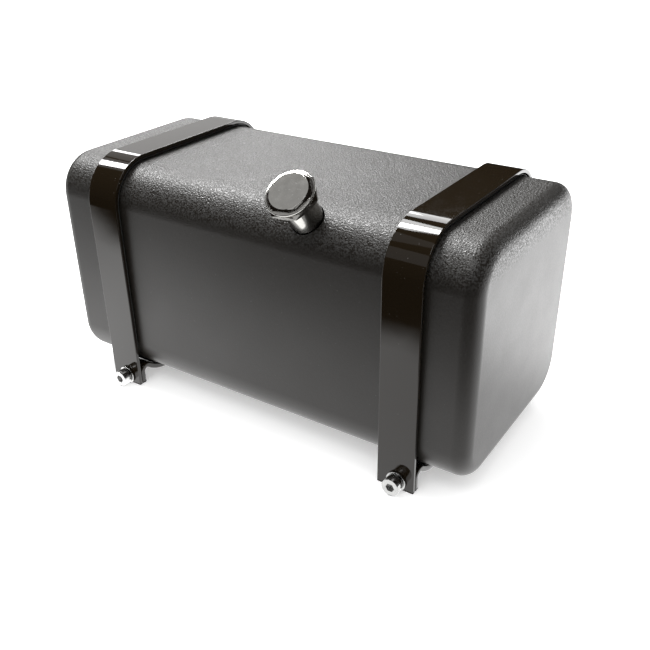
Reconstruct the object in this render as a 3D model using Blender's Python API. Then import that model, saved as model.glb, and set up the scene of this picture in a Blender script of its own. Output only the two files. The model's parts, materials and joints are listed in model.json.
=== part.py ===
"""Strap-mounted hydraulic reservoir, in metres, +Z up.

+X runs along the tank and -Y is the front. The origin is on the floor under the middle of the
reservoir, which stands on the lower ends of its straps and rails.
"""
import math

import bmesh
import bpy
from mathutils import Vector

MM = 0.001
GAP = 0.2 * MM  # clearance between pieces that rest on each other
ROUND = 24  # sides of a turned piece
SMALL_ROUND = 16
TUBE_ROUND = 12
COVER_ROUND = 42
SHARP_ANGLE = math.radians(30)  # edges bent more than this are drawn sharp
OVERRUN = 1.0 * MM  # how far a cutter reaches past the face it cuts

# Tank
TANK_LENGTH = 125.0 * MM
TANK_WIDTH = 58.8 * MM
TANK_HEIGHT = 60.6 * MM
TANK_CLEARANCE = 3.3 * MM
EDGE_RADIUS = 10.5 * MM  # the four lengthwise edges
END_RADIUS = 4.0 * MM  # the edges round both end faces
WALL = 2.0 * MM
COVER_WALL = 5.4 * MM  # left end, which carries the clean-out cover
EDGE_STEPS = 8
END_STEPS = 4
TANK_MIDDLE = TANK_CLEARANCE + TANK_HEIGHT / 2
EDGE_Y = TANK_WIDTH / 2 - EDGE_RADIUS
EDGE_HIGH = TANK_CLEARANCE + TANK_HEIGHT - EDGE_RADIUS
EDGE_LOW = TANK_CLEARANCE + EDGE_RADIUS

# Straps, with a rubber liner between strap and tank
STRAP_X = {"left": -43.8 * MM, "right": 45.6 * MM}
STRAP_WIDTH = 9.9 * MM
STRAP_THICKNESS = 1.0 * MM
LINER_WIDTH = 9.3 * MM
LINER_THICKNESS = 0.4 * MM
LINER_FOOT = 12.0 * MM
STRAP_OFFSET = 2 * GAP + LINER_THICKNESS  # tank surface to the strap's inner face
STRAP_OUTER_Y = TANK_WIDTH / 2 + STRAP_OFFSET + STRAP_THICKNESS

# Rails under the tank, with a rubber pad on each
RAIL_THICKNESS = 1.5 * MM
RAIL_BEND = 0.85 * MM  # inner radius of the bend down to the end tab
PAD_THICKNESS = 0.4 * MM
PAD_ANGLE = math.radians(30)  # how far the pad climbs the tank's lower edge
RAIL_OFFSET = 2 * GAP + PAD_THICKNESS
TAB_OUTER_Y = STRAP_OUTER_Y - STRAP_THICKNESS - GAP

# Clamp screws and washers, M2.5
SCREW_HEIGHT = 2.4 * MM
SCREW_SHIFT = 0.5 * MM  # screw to the strap's centre line
SCREW_RADIUS = 1.2 * MM
SCREW_HEAD_RADIUS = 2.25 * MM
SCREW_HEAD = 2.5 * MM
SCREW_LENGTH = 5.0 * MM
SCREW_SOCKET = 2.0 * MM
SCREW_CHAMFER = 0.25 * MM
WASHER_RADIUS = 2.6 * MM
WASHER_THICKNESS = 0.5 * MM
WASHER_FACE = STRAP_OUTER_Y + GAP
SCREW_SEAT = WASHER_FACE + WASHER_THICKNESS + GAP

# Filler neck and cap. Heights run along the neck's axis from the centre of the tank's top-front edge.
FILLER_X = 17.6 * MM
FILLER_TILT = math.radians(38.7)
NECK_RADIUS = 4.0 * MM
NECK_SPIGOT_RADIUS = 3.2 * MM
NECK_BORE = 2.85 * MM
NECK_BORE_LOW = 2.35 * MM
NECK_FOOT = 4.6 * MM
NECK_SHOULDER = 6.8 * MM
NECK_LEDGE = 12.5 * MM
NECK_HEX_LOW = 17.9 * MM
NECK_HEX_HIGH = 19.2 * MM
NECK_HEX = 11.0 * MM
NECK_HEX_TURN = math.radians(5.6)
BOSS_RADIUS = 6.2 * MM
BOSS_STEP = 6.0 * MM
CAP_COLLAR_LOW = 19.85 * MM
CAP_COLLAR_HIGH = 20.35 * MM
CAP_TOP = 21.05 * MM
CAP_COLLAR_RADIUS = 6.1 * MM
CAP_FACE_RADIUS = 4.7 * MM
CAP_HEX = 9.9 * MM
CAP_SHANK_RADIUS = 2.65 * MM
CAP_SHANK_LOW = 14.35 * MM
CAP_SEAL_RADIUS = 5.3 * MM
CAP_ROUND = 36
SCREEN_WALL = 0.4 * MM
SCREEN_FOOT = -4.0 * MM
SCREEN_SLOT = (6.0 * MM, 1.4 * MM, 2.2 * MM)
SCREEN_SLOT_FEET = (-2.6 * MM, 0.6 * MM)

# Rear ports: a barbed bulkhead fitting each, with a seal outside and a locknut inside
PORTS = {"suction": (-24.0 * MM, 18.0 * MM), "return": (30.0 * MM, 46.0 * MM)}
CAP_REACH = CAP_COLLAR_HIGH * math.sin(FILLER_TILT) + CAP_COLLAR_RADIUS * math.cos(FILLER_TILT)
PORT_REACH = EDGE_Y + CAP_REACH - TANK_WIDTH / 2  # the ports stand out as far as the cap does in front
PORT_THREAD_RADIUS = 3.0 * MM
PORT_BORE = 1.3 * MM
PORT_HEX = 10.0 * MM
PORT_SEAL_THICKNESS = 0.6 * MM
PORT_HEX_THICKNESS = 2.4 * MM
PORT_THREAD_END = -7.0 * MM
PORT_SOCKET_RADIUS = 2.3 * MM
PORT_SOCKET_DEPTH = 2.5 * MM
PORT_STEM_RADIUS = 1.9 * MM
PORT_BARB_RADIUS = 2.3 * MM
PORT_BARB = 1.2 * MM  # length of the barb at the tip
PORT_TIP_RADIUS = 1.7 * MM
PORT_SHOULDER_RADIUS = 2.4 * MM  # the step that a hose end butts against
PORT_SHOULDER = 0.5 * MM
LOCKNUT = 9.0 * MM
LOCKNUT_THICKNESS = 2.0 * MM

# Inside the tank
BAFFLE_X = 3.0 * MM
BAFFLE_THICKNESS = 1.5 * MM
BAFFLE_WINDOWS = (  # (y, z, radius): two low ones for the oil, one high one for the air
    (-14.0 * MM, 12.0 * MM, 4.0 * MM),
    (14.0 * MM, 12.0 * MM, 4.0 * MM),
    (0, 57.0 * MM, 2.0 * MM),
)
STRAINER_RADIUS = 4.2 * MM
STRAINER_WALL = 1.0 * MM
STRAINER_LENGTH = 15.0 * MM
STRAINER_LAP = 2.0 * MM  # how far it goes over the fitting's thread
STRAINER_SLOTS = 3
STRAINER_SLOT_WIDTH = 1.6 * MM
STRAINER_SLOT_ENDS = (2.0 * MM, 4.0 * MM)
RETURN_TUBE_RADIUS = 2.1 * MM
RETURN_TUBE_BORE = 1.4 * MM
RETURN_BEND = 5.0 * MM
RETURN_BEND_STEPS = 6
RETURN_LEAD = 2.0 * MM  # straight run before the bend
RETURN_TUBE_FOOT = 9.0 * MM

# Drain in the underside
DRAIN_X = -14.0 * MM
DRAIN_RADIUS = 3.0 * MM
DRAIN_BOSS_RADIUS = 5.0 * MM
DRAIN_BOSS_HEIGHT = 7.0 * MM
DRAIN_PLUG_LENGTH = 4.0 * MM
DRAIN_STEP = 5.2 * MM
DRAIN_OUTLET = 1.6 * MM
DRAIN_SOCKET = 3.0 * MM

# Clean-out cover, set flush into the left end. Depths run inwards from the end face.
COVER_RADIUS = 18.2 * MM
COVER_FACE = 0.1 * MM
COVER_BACK = 1.7 * MM
COVER_RECESS = 2.8 * MM
COVER_OPENING = 13.0 * MM
GASKET_THICKNESS = 0.7 * MM
COVER_SCREWS = 6
COVER_SCREW_CIRCLE = 15.7 * MM
COVER_SCREW_RADIUS = 0.85 * MM
COVER_SCREW_HEAD = 1.9 * MM
COVER_SCREW_FACE = 0.3 * MM
COVER_SCREW_END = 4.5 * MM
COVER_SCREW_SOCKET = 1.3 * MM
COVER_SOCKET_DEPTH = 0.7 * MM
COVER_ORIGIN = (-TANK_LENGTH / 2, 0, TANK_MIDDLE)

FACE_FRONT = (math.pi / 2, 0, 0)  # turns a piece's own +Z to -Y
FACE_REAR = (-math.pi / 2, 0, 0)
FACE_LEFT = (0, -math.pi / 2, 0)
CLAMP_ENDS = (("front", -1, FACE_FRONT), ("rear", 1, FACE_REAR))

MATERIALS = {
    "tank_plastic": ((0.018, 0.018, 0.019), 0.48, 0.0),
    "strap_enamel": ((0.010, 0.010, 0.011), 0.08, 0.0),
    "rubber": ((0.012, 0.012, 0.012), 0.80, 0.0),
    "bright_nickel": ((0.72, 0.70, 0.66), 0.12, 1.0),
    "zinc_steel": ((0.62, 0.63, 0.65), 0.28, 1.0),
    "brass": ((0.72, 0.52, 0.22), 0.25, 1.0),
    "fibre_seal": ((0.30, 0.06, 0.03), 0.70, 0.0),
    "nylon": ((0.78, 0.77, 0.72), 0.45, 0.0),
}


def clear_scene():
    for obj in list(bpy.data.objects):
        bpy.data.objects.remove(obj, do_unlink=True)


def material(name):
    """One Principled material for each finish, made the first time it is asked for."""
    found = bpy.data.materials.get(name)
    if found:
        return found
    colour, roughness, metallic = MATERIALS[name]
    made = bpy.data.materials.new(name)
    made.use_nodes = True
    shader = made.node_tree.nodes["Principled BSDF"]
    shader.inputs["Base Color"].default_value = (*colour, 1.0)
    shader.inputs["Roughness"].default_value = roughness
    shader.inputs["Metallic"].default_value = metallic
    return made


# Objects


def add_mesh(name, points, faces, finish=None):
    """An object from points and faces. With no finish it is a helper that Booleans read."""
    mesh = bpy.data.meshes.new(name)
    mesh.from_pydata([tuple(point) for point in points], [], faces)
    shape = bmesh.new()
    shape.from_mesh(mesh)
    bmesh.ops.recalc_face_normals(shape, faces=shape.faces)
    shape.to_mesh(mesh)
    shape.free()
    obj = bpy.data.objects.new(name, mesh)
    bpy.context.scene.collection.objects.link(obj)
    if finish:
        mesh.materials.append(material(finish))
        mesh.shade_smooth()
        mesh.set_sharp_from_angle(angle=SHARP_ANGLE)
    else:
        obj.hide_render = True
        obj.display_type = "WIRE"
    return obj


def boolean(obj, other, operation):
    modifier = obj.modifiers.new(other.name, "BOOLEAN")
    modifier.operation = operation
    modifier.solver = "EXACT"
    modifier.object = other
    return obj


def cut(obj, *cutters):
    for cutter in cutters:
        boolean(obj, cutter, "DIFFERENCE")
    return obj


def fuse(obj, *additions):
    for addition in additions:
        boolean(obj, addition, "UNION")
    return obj


def place(location=(0, 0, 0), rotation=(0, 0, 0), parent=None, objects=()):
    for obj in objects:
        obj.parent = parent
        obj.location = location
        obj.rotation_euler = rotation


# Shapes


def bridged(rings):
    """Faces between successive rings of the same number of points."""
    count = len(rings[0])
    faces = []
    for low, high in zip(rings, rings[1:]):
        for i in range(count):
            j = (i + 1) % count
            faces.append((low[i], low[j], high[j], high[i]))
    return faces


def turned(name, profile, finish=None, sides=ROUND, hollow=False):
    """A profile (radius, height) turned about Z. Flat discs close it, or with hollow its own last side.

    A cutter is turned on by half a side, so that its corners miss those of the piece it cuts.
    """
    first_turn = 0 if finish else math.pi / sides
    points = []
    rings = []
    for radius, height in profile:
        rings.append(list(range(len(points), len(points) + sides)))
        for i in range(sides):
            turn = first_turn + 2 * math.pi * i / sides
            points.append((radius * math.cos(turn), radius * math.sin(turn), height))
    if hollow:
        faces = bridged(rings + [rings[0]])
    else:
        faces = bridged(rings) + [tuple(rings[0]), tuple(rings[-1])]
    return add_mesh(name, points, faces, finish)


def cylinder(name, radius, low, high, finish=None, sides=ROUND):
    return turned(name, [(radius, low), (radius, high)], finish, sides)


def ring(name, inner, outer, low, high, finish=None, sides=ROUND):
    return turned(name, [(inner, low), (outer, low), (outer, high), (inner, high)], finish, sides, True)


def hexagon(name, across_flats, low, high, finish=None, turn=0.0):
    """A hexagon bar about Z with its first corner at the angle turn."""
    radius = across_flats / math.sqrt(3)
    angles = [turn + math.pi * i / 3 for i in range(6)]
    points = [(radius * math.cos(a), radius * math.sin(a), z) for z in (low, high) for a in angles]
    rings = [list(range(6)), list(range(6, 12))]
    return add_mesh(name, points, bridged(rings) + [tuple(rings[0]), tuple(rings[1])], finish)


def box(name, low, high):
    points = [(x, y, z) for x in (low[0], high[0]) for y in (low[1], high[1]) for z in (low[2], high[2])]
    faces = [(0, 1, 3, 2), (4, 6, 7, 5), (0, 4, 5, 1), (2, 3, 7, 6), (0, 2, 6, 4), (1, 5, 7, 3)]
    return add_mesh(name, points, faces)


def arc(centre, radius, start, end, steps):
    """Points (y, z) on an arc, from the start angle to the end angle."""
    turns = [start + (end - start) * i / steps for i in range(steps + 1)]
    return [(centre[0] + radius * math.cos(a), centre[1] + radius * math.sin(a)) for a in turns]


def rounded_outline(half_width, half_height, radius):
    """The tank's cross-section as (y, z) about its middle."""
    y, z = half_width - radius, half_height - radius
    quarter = math.pi / 2
    outline = []
    for i, centre in enumerate(((y, z), (-y, z), (-y, -z), (y, -z))):
        outline += arc(centre, radius, i * quarter, (i + 1) * quarter, EDGE_STEPS)
    return outline


def rounded_box(name, x_low, x_high, inset, end_radius, finish=None):
    """A bar along X of the tank's section, made smaller by inset, with its end edges rounded."""
    turns = [math.pi / 2 * i / END_STEPS for i in range(END_STEPS + 1)] if end_radius else [0.0]
    stations = [(end_radius * (1 - math.sin(a)), end_radius * (1 - math.cos(a))) for a in turns]
    places = [(x_low + along, pull) for along, pull in reversed(stations)]
    places += [(x_high - along, pull) for along, pull in stations]
    points = []
    rings = []
    for x, pull in places:
        shrink = inset + pull
        outline = rounded_outline(TANK_WIDTH / 2 - shrink, TANK_HEIGHT / 2 - shrink, EDGE_RADIUS - shrink)
        rings.append(list(range(len(points), len(points) + len(outline))))
        points += [(x, y, TANK_MIDDLE + z) for y, z in outline]
    return add_mesh(name, points, bridged(rings) + [tuple(rings[0]), tuple(rings[-1])], finish)


def strip(name, outer, inner, x_middle, width, finish):
    """A flat strip bent along two matching paths (y, z), one for each of its faces."""
    points = []
    rings = []
    for (oy, oz), (iy, iz) in zip(outer, inner):
        rings.append(list(range(len(points), len(points) + 4)))
        points += [(x_middle + side * width / 2, oy, oz) for side in (-1, 1)]
        points += [(x_middle + side * width / 2, iy, iz) for side in (1, -1)]
    return add_mesh(name, points, bridged(rings) + [tuple(rings[0]), tuple(rings[-1])], finish)


def hollow_tube(name, path, radius, bore, finish, sides=TUBE_ROUND):
    """A tube along a path of (point, direction) that lies in a plane of constant X."""
    points = []
    rings = []
    for side_radius in (radius, bore):
        for centre, direction in path:
            across = Vector((1, 0, 0)).cross(direction)
            rings.append(list(range(len(points), len(points) + sides)))
            for i in range(sides):
                turn = 2 * math.pi * i / sides
                step = Vector((math.cos(turn), 0, 0)) + math.sin(turn) * across
                points.append(centre + side_radius * step)
    count = len(path)
    outer, inner = rings[:count], rings[count:]
    return add_mesh(name, points, bridged(outer + inner[::-1] + [outer[0]]), finish)


def across_front_and_back(path):
    """A path (y, z) from the front to the middle, continued by its mirror image to the back."""
    return path + [(-y, z) for y, z in reversed(path)]


# Tank


def filler_bore(axis):
    """The stepped hole through wall and boss that takes the neck."""
    clear, narrow = NECK_RADIUS + GAP, NECK_SPIGOT_RADIUS + GAP
    low, high = NECK_FOOT - OVERRUN, EDGE_RADIUS + OVERRUN
    bore = turned("filler_bore", [(narrow, low), (narrow, BOSS_STEP), (clear, BOSS_STEP), (clear, high)])
    bore.parent = axis
    return bore


def drain_bore():
    """The stepped hole for the drain plug, measured upwards from the tank's underside."""
    clear = DRAIN_RADIUS + GAP
    top = DRAIN_BOSS_HEIGHT + OVERRUN
    profile = [(clear, -OVERRUN), (clear, DRAIN_STEP), (DRAIN_OUTLET, DRAIN_STEP), (DRAIN_OUTLET, top)]
    return turned("drain_bore", profile)


def tank_cavity(filler_axis):
    """The oil space, less the bosses moulded on the shell's inner side."""
    half = TANK_LENGTH / 2
    inner_end = END_RADIUS - WALL
    cavity = rounded_box("cavity", COVER_WALL - half, half - WALL, WALL, inner_end)
    filler_boss = cylinder("filler_boss", BOSS_RADIUS, NECK_FOOT + GAP, EDGE_RADIUS)
    filler_boss.parent = filler_axis
    drain_boss = cylinder("drain_boss", DRAIN_BOSS_RADIUS, 0, DRAIN_BOSS_HEIGHT)
    drain_boss.location = (DRAIN_X, 0, TANK_CLEARANCE)
    return cut(cavity, filler_boss, drain_boss)


def cover_cutters():
    """The recess for the cover, the clean-out opening and the blind screw holes."""
    recess = cylinder("cover_recess", COVER_RADIUS + GAP, -COVER_RECESS, OVERRUN, sides=COVER_ROUND)
    opening = cylinder("cover_opening", COVER_OPENING, -COVER_WALL - OVERRUN, OVERRUN, sides=COVER_ROUND)
    clear, end = COVER_SCREW_RADIUS + GAP, -COVER_SCREW_END - GAP
    holes = [cylinder(f"cover_hole_{i + 1}", clear, end, 0, sides=SMALL_ROUND) for i in range(COVER_SCREWS)]
    place(COVER_ORIGIN, FACE_LEFT, None, (recess, opening))
    for hole, spot in zip(holes, cover_screw_spots()):
        place(spot, FACE_LEFT, None, (hole,))
    return [recess, opening, *holes]


def make_tank_shell(filler_axis):
    half = TANK_LENGTH / 2
    shell = rounded_box("tank_shell", -half, half, 0, END_RADIUS, "tank_plastic")
    drain = drain_bore()
    drain.location = (DRAIN_X, 0, TANK_CLEARANCE)
    cut(shell, tank_cavity(filler_axis), filler_bore(filler_axis), drain, *cover_cutters())
    for port, (x, z) in PORTS.items():
        hole = cylinder(f"{port}_hole", PORT_THREAD_RADIUS + GAP, -WALL - OVERRUN, OVERRUN)
        place((x, TANK_WIDTH / 2, z), FACE_REAR, None, (hole,))
        cut(shell, hole)


def make_baffle():
    x_high = BAFFLE_X + BAFFLE_THICKNESS
    baffle = rounded_box("baffle_plate", BAFFLE_X, x_high, WALL + GAP, 0, "tank_plastic")
    for i, (y, z, radius) in enumerate(BAFFLE_WINDOWS):
        window = cylinder(f"baffle_window_{i + 1}", radius, -OVERRUN, BAFFLE_THICKNESS + OVERRUN)
        place((x_high, y, z), FACE_LEFT, None, (window,))
        cut(baffle, window)


# Filler: every piece is placed on the neck's axis


def make_filler_neck(axis):
    """The neck: round shank, hexagon flange on top, spigot below, stepped bore through it."""
    outside = [(NECK_SPIGOT_RADIUS, NECK_FOOT), (NECK_SPIGOT_RADIUS, NECK_SHOULDER)]
    outside += [(NECK_RADIUS, NECK_SHOULDER), (NECK_RADIUS, NECK_HEX_HIGH)]
    neck = turned("filler_neck", outside, "bright_nickel")
    flange = hexagon("neck_flange", NECK_HEX, NECK_HEX_LOW, NECK_HEX_HIGH, None, NECK_HEX_TURN)
    low, high = NECK_FOOT - OVERRUN, NECK_HEX_HIGH + OVERRUN
    inside = [(NECK_BORE_LOW, low), (NECK_BORE_LOW, NECK_LEDGE), (NECK_BORE, NECK_LEDGE), (NECK_BORE, high)]
    bore = turned("neck_bore", inside)
    cut(fuse(neck, flange), bore)
    seal_low, seal_high = BOSS_STEP + GAP, NECK_SHOULDER - GAP
    seal = ring("neck_seal", NECK_SPIGOT_RADIUS + GAP, NECK_RADIUS, seal_low, seal_high, "rubber")
    place(parent=axis, objects=(neck, flange, bore, seal))


def make_filler_screen(axis):
    """A strainer cup that hangs by its rim on the ledge in the neck's bore."""
    rim, wall = NECK_BORE - GAP, NECK_BORE_LOW - GAP
    rim_low = NECK_LEDGE + GAP
    rim_high = rim_low + SCREEN_WALL
    profile = [(wall, SCREEN_FOOT), (wall, rim_low), (rim, rim_low), (rim, rim_high)]
    profile += [(wall - SCREEN_WALL, rim_high), (wall - SCREEN_WALL, SCREEN_FOOT + SCREEN_WALL)]
    screen = turned("filler_screen", profile, "nylon")
    place(parent=axis, objects=(screen,))
    length, width, height = SCREEN_SLOT
    for i, turn in enumerate((0.0, math.pi / 2)):
        for j, foot in enumerate(SCREEN_SLOT_FEET):
            low = (-length / 2, -width / 2, foot)
            high = (length / 2, width / 2, foot + height)
            slot = box(f"screen_slot_{i + 1}_{j + 1}", low, high)
            place((0, 0, 0), (0, 0, turn), axis, (slot,))
            cut(screen, slot)


def make_filler_cap(axis):
    """The screw cap: shank, round collar, and a low hexagon chamfered to a round face."""
    outside = [(CAP_SHANK_RADIUS, CAP_SHANK_LOW), (CAP_SHANK_RADIUS, CAP_COLLAR_LOW)]
    outside += [(CAP_COLLAR_RADIUS, CAP_COLLAR_LOW), (CAP_COLLAR_RADIUS, CAP_COLLAR_HIGH)]
    cap = turned("filler_cap", outside, "bright_nickel", CAP_ROUND)
    head = hexagon("cap_head", CAP_HEX, CAP_COLLAR_LOW + GAP, CAP_TOP, None, NECK_HEX_TURN)
    cone_foot = CAP_FACE_RADIUS + (CAP_TOP - CAP_COLLAR_LOW) * math.sqrt(3)
    cone = [(cone_foot, CAP_COLLAR_LOW), (CAP_FACE_RADIUS, CAP_TOP)]
    chamfer = turned("cap_chamfer", cone, None, CAP_ROUND)
    boolean(head, chamfer, "INTERSECT")
    fuse(cap, head)
    seal_low, seal_high = NECK_HEX_HIGH + GAP, CAP_COLLAR_LOW - GAP
    seal = ring("filler_cap_seal", NECK_BORE + GAP, CAP_SEAL_RADIUS, seal_low, seal_high, "rubber")
    place(parent=axis, objects=(cap, head, chamfer, seal))


def make_filler():
    axis = bpy.data.objects.new("filler_axis", None)
    bpy.context.scene.collection.objects.link(axis)
    place((FILLER_X, -EDGE_Y, EDGE_HIGH), (FILLER_TILT, 0, 0), None, (axis,))
    make_filler_neck(axis)
    make_filler_screen(axis)
    make_filler_cap(axis)
    return axis


# Straps and rails


def over_tank(offset, foot):
    """The path at a distance from the tank: up the front, over the top and down the back."""
    side = TANK_WIDTH / 2 + offset
    corner = arc((-EDGE_Y, EDGE_HIGH), EDGE_RADIUS + offset, math.pi, math.pi / 2, EDGE_STEPS)
    return across_front_and_back([(-side, foot)] + corner)


def rail_path(offset, bend_radius):
    """One face of a rail: the end tab, the bend at its top, and the run under the tank."""
    arm = EDGE_RADIUS + RAIL_OFFSET + RAIL_THICKNESS + RAIL_BEND
    bend_y = TAB_OUTER_Y - RAIL_THICKNESS - RAIL_BEND
    climb = math.asin((bend_y - EDGE_Y) / arm)
    bend_z = EDGE_LOW - arm * math.cos(climb)
    tab = [(-bend_y - bend_radius, 0)]
    bend = arc((-bend_y, bend_z), bend_radius, math.pi, math.pi / 2 - climb, EDGE_STEPS)
    under = arc((-EDGE_Y, EDGE_LOW), EDGE_RADIUS + offset, -math.pi / 2 - climb, -math.pi / 2, EDGE_STEPS)
    return across_front_and_back(tab + bend + under[1:])


def pad_path(offset):
    corner = (-EDGE_Y, EDGE_LOW)
    return across_front_and_back(
        arc(corner, EDGE_RADIUS + offset, -math.pi / 2 - PAD_ANGLE, -math.pi / 2, EDGE_STEPS)
    )


def make_strap(side):
    x = STRAP_X[side]
    outer = over_tank(STRAP_OFFSET + STRAP_THICKNESS, 0)
    inner = over_tank(STRAP_OFFSET, 0)
    strap = strip(f"strap_{side}", outer, inner, x, STRAP_WIDTH, "strap_enamel")
    liner_outer = over_tank(GAP + LINER_THICKNESS, LINER_FOOT)
    liner_inner = over_tank(GAP, LINER_FOOT)
    strip(f"strap_liner_{side}", liner_outer, liner_inner, x, LINER_WIDTH, "rubber")
    rail_outer = rail_path(RAIL_OFFSET, RAIL_THICKNESS + RAIL_BEND)
    rail_inner = rail_path(RAIL_OFFSET + RAIL_THICKNESS, RAIL_BEND)
    rail = strip(f"rail_{side}", rail_outer, rail_inner, x, STRAP_WIDTH, "strap_enamel")
    strip(f"rail_pad_{side}", pad_path(GAP), pad_path(GAP + PAD_THICKNESS), x, LINER_WIDTH, "rubber")
    for end, sign, turn in CLAMP_ENDS:
        hole = cylinder(f"clamp_hole_{end}_{side}", SCREW_RADIUS + GAP, -SCREW_LENGTH - GAP, OVERRUN)
        place((x + SCREW_SHIFT, sign * SCREW_SEAT, SCREW_HEIGHT), turn, None, (hole,))
        cut(strap, hole)
        cut(rail, hole)


def socket_screw(name, finish):
    """A socket-head screw. Its own +Z points out of the head and the head sits on Z = 0."""
    rim = SCREW_HEAD_RADIUS
    profile = [(SCREW_RADIUS, -SCREW_LENGTH), (SCREW_RADIUS, 0), (rim, 0)]
    profile += [(rim, SCREW_HEAD - SCREW_CHAMFER), (rim - SCREW_CHAMFER, SCREW_HEAD)]
    screw = turned(name, profile, finish)
    socket = hexagon("clamp_socket", SCREW_SOCKET, SCREW_HEAD / 2, SCREW_HEAD + OVERRUN)
    socket.parent = screw
    return cut(screw, socket)


def make_clamp_screws():
    """A screw and a washer through each strap end and rail tab."""
    for side, x in STRAP_X.items():
        for end, sign, turn in CLAMP_ENDS:
            screw = socket_screw(f"clamp_screw_{end}_{side}", "zinc_steel")
            name = f"clamp_washer_{end}_{side}"
            washer = ring(name, SCREW_RADIUS + GAP, WASHER_RADIUS, 0, WASHER_THICKNESS, "zinc_steel")
            place((x + SCREW_SHIFT, sign * SCREW_SEAT, SCREW_HEIGHT), turn, None, (screw,))
            place((x + SCREW_SHIFT, sign * WASHER_FACE, SCREW_HEIGHT), turn, None, (washer,))


# Ports, drain and cover


def make_fitting(port, spot):
    """A bulkhead fitting: barbed stem, hexagon, and a thread that passes through the wall."""
    hex_low = PORT_SEAL_THICKNESS + 2 * GAP
    hex_high = hex_low + PORT_HEX_THICKNESS
    shoulder_high = hex_high + PORT_SHOULDER
    barb_low = PORT_REACH - PORT_BARB
    outside = [(PORT_THREAD_RADIUS, PORT_THREAD_END), (PORT_THREAD_RADIUS, hex_high)]
    outside += [(PORT_SHOULDER_RADIUS, hex_high), (PORT_SHOULDER_RADIUS, shoulder_high)]
    outside += [(PORT_STEM_RADIUS, shoulder_high), (PORT_STEM_RADIUS, barb_low)]
    outside += [(PORT_BARB_RADIUS, barb_low), (PORT_TIP_RADIUS, PORT_REACH)]
    fitting = turned(f"{port}_fitting", outside, "brass")
    nut = hexagon(f"{port}_fitting_hex", PORT_HEX, hex_low, hex_high, None, math.pi / 6)
    socket_high = PORT_THREAD_END + PORT_SOCKET_DEPTH
    low, high = PORT_THREAD_END - OVERRUN, PORT_REACH + OVERRUN
    inside = [(PORT_SOCKET_RADIUS, low), (PORT_SOCKET_RADIUS, socket_high)]
    inside += [(PORT_BORE, socket_high), (PORT_BORE, high)]
    bore = turned(f"{port}_fitting_bore", inside)
    cut(fuse(fitting, nut), bore)
    place(spot, FACE_REAR, None, (fitting, nut, bore))


def make_port(port):
    x, z = PORTS[port]
    spot = (x, TANK_WIDTH / 2, z)
    clear = PORT_THREAD_RADIUS + GAP
    make_fitting(port, spot)
    seal = ring(f"{port}_seal", clear, PORT_HEX / 2 - GAP, GAP, GAP + PORT_SEAL_THICKNESS, "fibre_seal")
    nut_high = -WALL - GAP
    nut_low = nut_high - LOCKNUT_THICKNESS
    locknut = hexagon(f"{port}_locknut", LOCKNUT, nut_low, nut_high, "brass", math.pi / 6)
    bore = cylinder(f"{port}_locknut_bore", clear, nut_low - OVERRUN, nut_high + OVERRUN)
    cut(locknut, bore)
    place(spot, FACE_REAR, None, (seal, locknut, bore))


def make_suction_strainer():
    """A slotted cup on the inner end of the suction fitting."""
    x, z = PORTS["suction"]
    spot = (x, TANK_WIDTH / 2, z)
    high = PORT_THREAD_END + STRAINER_LAP
    low = high - STRAINER_LENGTH
    bore = PORT_THREAD_RADIUS + GAP
    profile = [(STRAINER_RADIUS, low), (STRAINER_RADIUS, high), (bore, high), (bore, low + STRAINER_WALL)]
    strainer = turned("suction_strainer", profile, "nylon")
    place(spot, FACE_REAR, None, (strainer,))
    reach = STRAINER_RADIUS + OVERRUN
    half = STRAINER_SLOT_WIDTH / 2
    foot, top = STRAINER_SLOT_ENDS
    for i in range(STRAINER_SLOTS):
        slot = box(f"strainer_slot_{i + 1}", (-reach, -half, low + foot), (reach, half, high - top))
        place(spot, (FACE_REAR[0], math.pi * i / STRAINER_SLOTS, 0), None, (slot,))
        cut(strainer, slot)


def make_return_tube():
    """A bent tube from the return fitting down to just above the tank's floor."""
    x, z = PORTS["return"]
    start_y = TANK_WIDTH / 2 + PORT_THREAD_END + PORT_SOCKET_DEPTH - GAP
    bend_y = TANK_WIDTH / 2 + PORT_THREAD_END - RETURN_LEAD
    inwards, down = Vector((0, -1, 0)), Vector((0, 0, -1))
    path = [(Vector((x, start_y, z)), inwards)]
    centre = Vector((x, bend_y, z - RETURN_BEND))
    for i in range(RETURN_BEND_STEPS + 1):
        turn = math.pi / 2 * i / RETURN_BEND_STEPS
        along = inwards * math.cos(turn) + down * math.sin(turn)
        outwards = inwards * math.sin(turn) - down * math.cos(turn)
        path.append((centre + RETURN_BEND * outwards, along))
    path.append((Vector((x, bend_y - RETURN_BEND, RETURN_TUBE_FOOT)), down))
    hollow_tube("return_tube", path, RETURN_TUBE_RADIUS, RETURN_TUBE_BORE, "nylon")


def make_drain():
    plug_low = GAP
    plug_high = plug_low + DRAIN_PLUG_LENGTH
    plug = cylinder("drain_plug", DRAIN_RADIUS, plug_low, plug_high, "zinc_steel")
    socket = hexagon("drain_socket", DRAIN_SOCKET, -OVERRUN, plug_low + DRAIN_PLUG_LENGTH / 2)
    cut(plug, socket)
    seal = ring("drain_seal", DRAIN_OUTLET + GAP, DRAIN_RADIUS, plug_high + GAP, DRAIN_STEP - GAP, "rubber")
    place((DRAIN_X, 0, TANK_CLEARANCE), (0, 0, 0), None, (plug, socket, seal))


def cover_screw_spots():
    """Where the cover's screws meet the end face."""
    turns = [2 * math.pi * (i + 0.5) / COVER_SCREWS for i in range(COVER_SCREWS)]
    x, y, z = COVER_ORIGIN
    return [(x, y + COVER_SCREW_CIRCLE * math.sin(a), z + COVER_SCREW_CIRCLE * math.cos(a)) for a in turns]


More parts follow.
